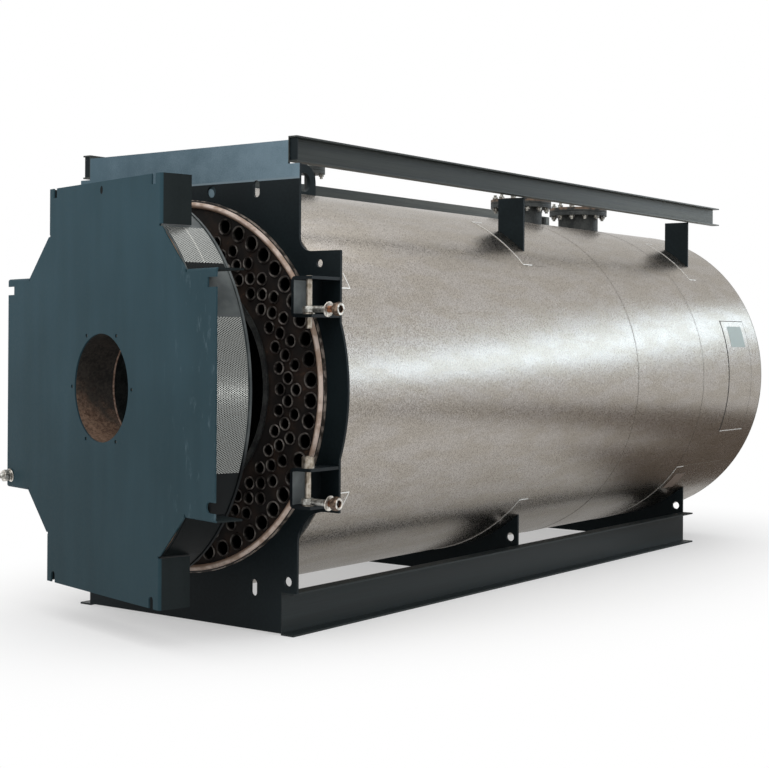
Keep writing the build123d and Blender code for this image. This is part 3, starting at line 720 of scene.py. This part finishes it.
# the grey front of the web's inner face: painted light
lit_web = ((side < WEB_X[1]) * (side > WEB_X[0]) * bracket_paint.y.ramp(*WEB_LIGHT_FADE, 1.0, 0.0)
       * (bracket_paint.y > WEB_Y))
plain = bracket_paint.mix(tone, rgb(15, 20, 23), rgb(24, 30, 33))
grey = bracket_paint.mix(tone, rgb(96, 102, 103), rgb(124, 130, 130))
bracket_paint.colour(bracket_paint.mix(lit_web, plain, grey))
bracket_paint.bump(bracket_paint.noise(500, 2), 0.12, 0.0004)
for name in ("upper_hinge_brackets", "lower_hinge_brackets"):
    dress(nodes[name], bracket_paint)

# Pins, washers and spacers: turned steel, zinc plated and dulled to a warm grey. A pin stands
# upright through each bracket, and a loose spacer lies under the eye of each right bolt.
zinc = Finish("zinc", metallic=0.85, rough=0.36)
tone = zinc.noise(40, 4)
zinc.colour(zinc.mix(tone.ramp(0.35, 0.65), rgb(128, 118, 104), rgb(182, 174, 162)))
zinc.set("Roughness", tone.ramp(0.3, 0.7, 0.3, 0.48))
for name in ("hinge_pins", "pin_washers", "upper_spacer", "lower_spacer"):
    dress(nodes[name], zinc)

# Swing bolts: a forged eye on the pin, a zinc-plated shank with a rolled thread rusted orange, a
# thick loose washer and a hexagon nut, brown on its sides and bright on its faces. The left bolt
# is in the door's notch, and its thread and nut are bright.
PIN_X, PIN_Y = 0.93, -0.163
OPEN = math.radians(-14)        # the door as it stands in the photograph
EYE_R, EYE_BORE, EYE_HALF = 0.0315, 0.0145, 0.0153
SHANK_R, PITCH, CREST = 0.0150, 0.0035, 0.0019      # a shank, its thread's pitch and depth
NUT_FLAT, NUT_BAND, NUT_TURN = 0.0265, 0.0035, 0.35
WASHER_R, WASHER_T, WASHER_TILT = 0.0345, 0.0055, math.radians(9)
WASHER_ROOM = 0.0006


def bolt_finish(name, bright, dark, rough=0.36):
    """Bright metal with darker patches."""
    finish = Finish(name, metallic=0.8, rough=rough)
    tone = finish.noise(70, 4)
    finish.colour(finish.mix(tone.ramp(0.38, 0.6), rgb(*dark), rgb(*bright)))
    finish.bump(tone, 0.25, 0.0005)
    return finish


shank_zinc = bolt_finish("shank_zinc", (200, 199, 193), (138, 136, 130))
thread_rust = bolt_finish("thread_rust", (146, 102, 76), (90, 58, 42), 0.5)
nut_side = bolt_finish("nut_side", (138, 118, 102), (82, 67, 56), 0.42)
bolt_tip = bolt_finish("bolt_tip", (40, 34, 30), (18, 15, 13), 0.6)
washer_zinc = bolt_finish("washer_zinc", (226, 222, 214), (150, 145, 136))
# for the eye, shank, thread, washer, sides of the nut, and the thread's end
RUSTED = (shank_zinc, shank_zinc, thread_rust, washer_zinc, nut_side, bolt_tip)
BRIGHT = (shank_zinc, shank_zinc, shank_zinc, washer_zinc, washer_zinc, bolt_tip)


def thread_rows(x0, x1):
    """Profile of a rolled thread along the shank: crest and root by turns."""
    count = round((x1 - x0) / PITCH * 2)
    return [(SHANK_R - (CREST if k % 2 else 0.0), x0 + (x1 - x0) * k / count)
            for k in range(count + 1)]


def swing_bolt(name, body, stands_for, z, thread, washer, nut, reach, finishes=RUSTED, side=1,
               heading=0.0):
    """Bolt in one mesh: its eye on a pin, and where along it the thread and the rest begin."""
    h = EYE_HALF
    eye = turned("eye", [(EYE_BORE, -h), (EYE_R - 0.007, -h), (EYE_R - 0.002, -h + 0.003),
                         (EYE_R, 0.0), (EYE_R - 0.002, h - 0.003), (EYE_R - 0.007, h),
                         (EYE_BORE, h), (EYE_BORE, -h)], 32)
    shank = turned("shank", [(0, 0.022), (SHANK_R - 0.001, 0.022), (SHANK_R, 0.034),
                             (SHANK_R, thread), (0, thread)])
    screw = turned("screw", [(0, thread), *thread_rows(thread, reach - 0.004), (0.010, reach),
                             (0, reach)])
    bore, t = SHANK_R + WASHER_ROOM, WASHER_T
    disc = turned("washer", [(bore, 0), (WASHER_R - 0.001, 0), (WASHER_R, 0.001),
                             (WASHER_R, t - 0.001), (WASHER_R - 0.001, t), (bore, t),
                             (bore, 0)], 36)
    x0, x1 = nut
    hexagon = turned("hexagon", [(SHANK_R, x0), (NUT_FLAT, x0), (NUT_FLAT, x0 + NUT_BAND),
                                 (NUT_FLAT, x1 - NUT_BAND), (NUT_FLAT, x1),
                                 (SHANK_R + 0.002, x1), (SHANK_R, x1 - 0.002), (SHANK_R, x0)],
                     hexes=(2, 3))
    along = Matrix.Rotation(math.pi / 2, 4, "Y")
    tilted = Matrix.Translation((washer, 0, 0)) @ Matrix.Rotation(WASHER_TILT, 4, "Y") @ along
    work = bmesh.new()
    # a piece, its place, and its finish on the sides and on the ends
    for piece, place, on_sides, on_ends in ((eye, Matrix(), 0, 0), (shank, along, 1, 1),
                                            (screw, along, 2, 5), (disc, tilted, 3, 3),
                                            (hexagon, along @ Matrix.Rotation(NUT_TURN, 4, "Z"),
                                             4, 3)):
        piece.data.transform(place)
        start = len(work.faces)
        work.from_mesh(piece.data)
        work.faces.ensure_lookup_table()
        work.normal_update()
        for face in work.faces[start:]:
            face.material_index = on_ends if abs(face.normal.x) > 0.9 else on_sides
        bpy.data.objects.remove(piece)
    bmesh.ops.recalc_face_normals(work, faces=work.faces)
    mesh = bpy.data.meshes.new(name)
    work.to_mesh(mesh)
    work.free()
    mesh.transform(Matrix.Translation((side * PIN_X, PIN_Y, z))
                   @ Matrix.Rotation(heading, 4, "Z"))
    indices = [face.material_index for face in mesh.polygons]
    dress(linked(name, mesh), finishes[0], body, stands_for)
    mesh.materials.clear()
    for finish in finishes:
        mesh.materials.append(finish.material)
    mesh.polygons.foreach_set("material_index", indices)


swing_bolt("upper_swing_bolt", "upper_swing", ["upper_bolt", "upper_nut"], z=1.506,
           thread=0.112, washer=0.108, nut=(0.148, 0.180), reach=0.172)
swing_bolt("lower_swing_bolt", "lower_swing", ["lower_bolt", "lower_nut"], z=0.6545,
           thread=0.104, washer=0.120, nut=(0.142, 0.177), reach=0.170)
swing_bolt("left_swing_bolt", "door", ["left_bolt"], z=0.667, thread=0.095, washer=0.102,
           nut=(0.112, 0.146), reach=0.164, finishes=BRIGHT, side=-1,
           heading=OPEN - math.pi / 2)

# Door cover: one thick plate with bent edges, slate blue, satin, with a faint orange peel. It is
# cloudy from dust, and scuffed paler near its right edge. It is darker towards the bottom, and
# its bent edges darker still, both painted shade. A small oval hole near its top is drawn in the
# finish.
OVAL_X, OVAL_Z, OVAL_W, OVAL_H = -0.004, 2.0605, 0.0125, 0.0195     # centre and half axes
FLANGE_SHADE_Y = (-0.257, -0.250)      # behind this depth the painted shade of the bent edges begins


def shut(finish):
    """X and Y of a piece on the door as they would be with the door shut."""
    dx, dy = finish.x + PIN_X, finish.y - PIN_Y
    c, s = math.cos(OPEN), math.sin(OPEN)
    return dx * c + dy * s - PIN_X, dy * c - dx * s + PIN_Y


door_paint = Finish("door_paint", rough=0.42, spec=0.05)
x, y = shut(door_paint)
cloud = door_paint.noise(1.7, 4)
fine = door_paint.noise(60, 3)
streak = door_paint.noise(9, 3, stretch=(1, 1, 0.12))
tone = (cloud * 0.5 + streak * 0.35 + fine * 0.15).ramp(0.36, 0.64)
low = door_paint.mix(tone, rgb(38, 57, 63), rgb(44, 64, 71))
high = door_paint.mix(tone, rgb(44, 66, 74), rgb(51, 74, 83))
# lighter towards the top, darker low down: painted shade
paint = door_paint.mix(door_paint.z.ramp(0.2, 2.0), low, high)
scuff = (door_paint.noise(22, 5, stretch=(1, 1, 0.35), rough=0.65).ramp(0.56, 0.7)
         * x.ramp(0.45, 0.9))
paint = door_paint.mix(scuff * 0.55, paint, rgb(92, 110, 118))
oval = ((x - OVAL_X) / OVAL_W).hypot((door_paint.z - OVAL_Z) / OVAL_H)
paint = door_paint.mix(oval < 1.0, paint, rgb(6, 8, 9))
# the bent edges darker: painted shade
shaded_flanges = door_paint.mix(tone, rgb(26, 32, 33), rgb(36, 42, 43))
door_paint.colour(door_paint.mix(y.ramp(*FLANGE_SHADE_Y), paint, shaded_flanges))
door_paint.set("Roughness", fine.ramp(0.3, 0.7, 0.38, 0.5))
door_paint.bump(door_paint.noise(700, 2), 0.12, 0.0004)
dress(nodes["door_cover"], door_paint)

# Drum behind the cover: rolled and welded plate with a ring at its rear and the hinge lugs at the
# left. Painted grey, and near black low down and on the ring.
GREY_Z, GREY_Y = (0.80, 0.98), (-0.0370, -0.0360)

drum_paint = Finish("drum_paint", rough=0.42, spec=0.1)
x, y = shut(drum_paint)
tone = drum_paint.noise(8, 4).ramp(0.35, 0.65)
grey = drum_paint.mix(tone, rgb(66, 71, 72), rgb(88, 93, 93))
dark = drum_paint.mix(tone, rgb(6, 10, 12), rgb(12, 17, 19))
where = drum_paint.z.ramp(*GREY_Z) * y.ramp(*GREY_Y, 1.0, 0.0)
drum_paint.colour(drum_paint.mix(where, dark, grey))
drum_paint.bump(drum_paint.noise(500, 2), 0.12, 0.0004)
for name in ("door_drum", "door_ring", "hinge_lugs"):
    dress(nodes[name], drum_paint)

# Door lining and the burner's tunnel: rough, sandy brown cast refractory with a thin rusted tube
# through it. The block behind the tube has its bore smoked, with a pale rim at its inner end that
# is painted light. The tube is black but for a brown part low in front; the black is painted
# shade.
LIT_RIM_Y = (-0.156, -0.146)        # the block turns pale over this depth, painted light
TOP_SHADE_Z, TOP_SHADE_LEAN = (1.12, 1.36), 0.9


def cast(name, rough, strength, depth):
    """Finish of a rough cast, with its coarse and its fine noise."""
    made = Finish(name, rough=rough, spec=0.2)
    a, b = made.noise(9, 5), made.noise(60, 5)
    made.bump(b, strength, depth)
    return made, a, b


refractory, a, b = cast("refractory", 0.9, 0.6, 0.003)
refractory.colour(refractory.mix((a * 0.6 + b * 0.4).ramp(0.38, 0.62), rgb(70, 52, 42),
                                 rgb(142, 116, 94)))
for name in ("door_lining", "lining_rim"):
    dress(nodes[name], refractory)

block, a, b = cast("burner_block", 0.85, 0.5, 0.002)
x, y = shut(block)
smoked = block.mix((a * 0.5 + b * 0.5).ramp(0.38, 0.62), rgb(34, 28, 24), rgb(74, 62, 53))
# pale rim at the inner end: painted light
lit_rim = block.mix(b.ramp(0.38, 0.62), rgb(128, 102, 88), rgb(176, 150, 134))
block.colour(block.mix(y.ramp(*LIT_RIM_Y), smoked, lit_rim))
dress(nodes["burner_block"], block)

tunnel = Finish("burner_tunnel", rough=0.7, spec=0.35)
x, y = shut(tunnel)
a, b = tunnel.noise(9, 6, rough=0.65), tunnel.noise(70, 5, rough=0.7)
# black over the top and further back: painted shade
top_shade = (tunnel.z + y * TOP_SHADE_LEAN + a * 0.7).ramp(*TOP_SHADE_Z)
tone = (a * 0.5 + b * 0.5).ramp(0.38, 0.62)
brown = tunnel.mix(tone, rgb(66, 47, 37), rgb(138, 112, 93))
black = tunnel.mix(tone, rgb(16, 14, 12), rgb(52, 47, 42))
tunnel.colour(tunnel.mix(top_shade, brown, black))
tunnel.bump(b, 0.5, 0.002)
dress(nodes["burner_tube"], tunnel)

# Sheets wrapped round the drum: thin bright steel pierced with round holes in staggered rows. The
# holes are drawn in the finish. Low down and over a band near the top the sheet is plain and
# dark, and a seam runs round above it.
MESH_R, HOLE_PITCH, ROW = 0.9, 0.0092, 0.866    # drum, holes, and row spacing over pitch
HOLE_R = (0.29, 0.37)           # a hole's edge, as a share of the pitch
MESH_SEAM_Y, MESH_SEAM, MESH_SEAM_Z = -0.152, 0.0035, 1.6
PLAIN_Z, BAND_Z = 0.76, (1.5, 1.702)

mesh_steel = Finish("mesh_steel", rough=0.26, spec=0.05)
x, y = shut(mesh_steel)
z = mesh_steel.z
column = (z - AXIS_Z).atan2(x) * MESH_R / HOLE_PITCH
row = y / (HOLE_PITCH * ROW)
odd = (row * 0.5).fract() > 0.5
off = ((column + odd * 0.5).fract() - 0.5).hypot((row.fract() - 0.5) * ROW)
hole = off.ramp(*HOLE_R, 1.0, 0.0)
seam = (abs(y - MESH_SEAM_Y) < MESH_SEAM) * (z > MESH_SEAM_Z)
sheet = mesh_steel.mix(seam, rgb(140, 142, 139), rgb(172, 173, 168))
pierced = mesh_steel.mix(hole, sheet, rgb(22, 23, 23))
plain = (z < PLAIN_Z).most((z > BAND_Z[0]) * (z < BAND_Z[1]))
mesh_steel.colour(mesh_steel.mix(plain, pierced, rgb(8, 13, 14)))
mesh_steel.set("Metallic", hole.most(plain).ramp(0, 1, 0.85, 0.0))
mesh_steel.bump(hole, 0.5, -0.001)
dress(nodes["drum_mesh"], mesh_steel)

# Studio: a pale floor that keeps the boiler's shadow and runs out into white, and soft light
# from wide lamps overhead, in front and at the right, and from a wide low strip far behind that
# the jacket mirrors.
FLOOR_AT, FLOOR_SIZE = (0, 2.2, -0.001), (60, 60)
SHADOW_Y, SHADOW_X, SHADOW_LONG = 2.3, 1.25, 2.3    # middle and half sizes of the shadow's oval
SKY = 0.45                      # light of the white surroundings, 1 where they are seen


def flat(name, finish, centre, size):
    """A level sheet of the studio, which is no part of the boiler."""
    bpy.ops.mesh.primitive_plane_add(size=1)
    laid = bpy.context.object
    laid.data.transform(Matrix.Translation(centre) @ Matrix.Diagonal((*size, 1, 1)))
    laid.name = name
    laid.data.materials.append(finish.material)
    return laid


def seen(tree):
    """1 for what is seen directly, in a mirror or through glass, and 0 for scattered light."""
    rays = tree.node("ShaderNodeLightPath").outputs
    directly, mirrored = Value(tree, rays["Is Camera Ray"]), Value(tree, rays["Is Glossy Ray"])
    return directly.most(mirrored).most(Value(tree, rays["Is Transmission Ray"]))


def blend(tree, factor, low, high, output):
    """Puts out the shader low where the factor is 0, high where it is 1."""
    mixed = tree.node("ShaderNodeMixShader", inputs={"Fac": factor, "Shader": low,
                                                     "Shader_001": high})
    tree.feed(tree.nodes[output].inputs["Surface"], mixed.outputs[0])


floor_paint = Finish("floor", rough=0.95, spec=0.1)
floor_paint.colour((0.96, 0.96, 0.96, 1))
away = (floor_paint.x / SHADOW_X).hypot((floor_paint.y - SHADOW_Y) / SHADOW_LONG)
white = floor_paint.node("ShaderNodeEmission", inputs={"Strength": 1.0})
blend(floor_paint, away.ramp(0.95, 1.9, 0.42, 1.0) * seen(floor_paint),
      floor_paint.shader.outputs[0], white.outputs[0], "Material Output")
floor = flat("floor", floor_paint, FLOOR_AT, FLOOR_SIZE)

world = bpy.data.worlds.new("studio")
bpy.context.scene.world = world
world.use_nodes = True
sky = Tree(world.node_tree)
back = sky.nodes["Background"]
sky.feed(back.inputs["Color"], (1, 1, 1, 1))
sky.feed(back.inputs["Strength"], SKY)
white = sky.node("ShaderNodeBackground", inputs={"Color": (1, 1, 1, 1), "Strength": 1.0})
blend(sky, seen(sky), back.outputs[0], white.outputs[0], "World Output")


def lamp(name, where, target, size, power, tint=(1, 1, 1), roll=0.0):
    """Rectangular soft lamp aimed at a point."""
    light = bpy.data.lights.new(name, "AREA")
    light.shape = "RECTANGLE"
    light.size, light.size_y = size
    light.energy, light.color = power, tint
    aim = (Vector(target) - Vector(where)).to_track_quat("-Z", "Y").to_matrix().to_4x4()
    hung = linked(name, light)
    hung.matrix_world = Matrix.Translation(where) @ aim @ Matrix.Rotation(roll, 4, "Z")


lamp("overhead", (1.0, 1.0, 7.0), (0.2, 1.8, 1.0), (10, 12), 440)
lamp("front", (-1.0, -8.5, 4.0), (0, 0, 1.1), (8, 5), 190)
lamp("side", (12.0, 3.6, 0.85), (0.8, -0.4, 1.14), (3.0, 0.5), 45)
lamp("strip", (7.2, 14.0, 3.75), (0.9, 2.4, 1.2), (9, 1.7), 194, tint=(0.69, 0.86, 1.0),
     roll=math.radians(24))

# Cloth: a grey cloth laid on the floor behind and to the right, which only the jacket's mirror
# shows, for its darker band. Its near and far edges fade out.
CLOTH_AT, CLOTH_SIZE = (6.5, 6.6, 0.004), (12, 7)

cloth_paint = Finish("cloth", rough=0.9, spec=0.1)
cloth_paint.colour(rgb(142, 130, 121))
x, y = cloth_paint.x, cloth_paint.y
near = y.ramp(4.1, 5.6).most(x.ramp(1.2, 1.9, 1.0, 0.0) * y.ramp(3.4, 4.2))
cloth_paint.set("Alpha", near * (y + x * 0.4).ramp(8.6, 9.6, 1.0, 0.0))
cloth = flat("cloth", cloth_paint, CLOTH_AT, CLOTH_SIZE)
for ray in ("camera", "diffuse", "transmission", "shadow"):
    setattr(cloth, "visible_" + ray, False)

# Camera: fitted to the photograph. It looks level with a slight roll, and its picture is shifted
# a little, because the photograph is cropped.
CAMERA_AT = (5.193, -5.3548, 1.3749)
HEADING, ROLL = math.radians(36.52), math.radians(0.38)
PHOTO_W, FOCAL, SHIFT_X, SHIFT_Y = 769, 1514.2, -0.296, -44.69      # all in the photo's pixels
SENSOR_W = 36                   # millimetres

lens = bpy.data.cameras.new("camera")
camera = linked("camera", lens)
camera.matrix_world = (Matrix.Translation(CAMERA_AT) @ Matrix.Rotation(HEADING, 4, "Z")
                       @ Matrix.Rotation(math.pi / 2, 4, "X") @ Matrix.Rotation(ROLL, 4, "Z"))
lens.sensor_width = SENSOR_W
lens.lens = FOCAL / PHOTO_W * SENSOR_W
lens.shift_x = SHIFT_X / PHOTO_W
lens.shift_y = SHIFT_Y / PHOTO_W
lens.clip_end = 100
bpy.context.scene.camera = camera

bpy.context.scene.view_settings.view_transform = "Standard"
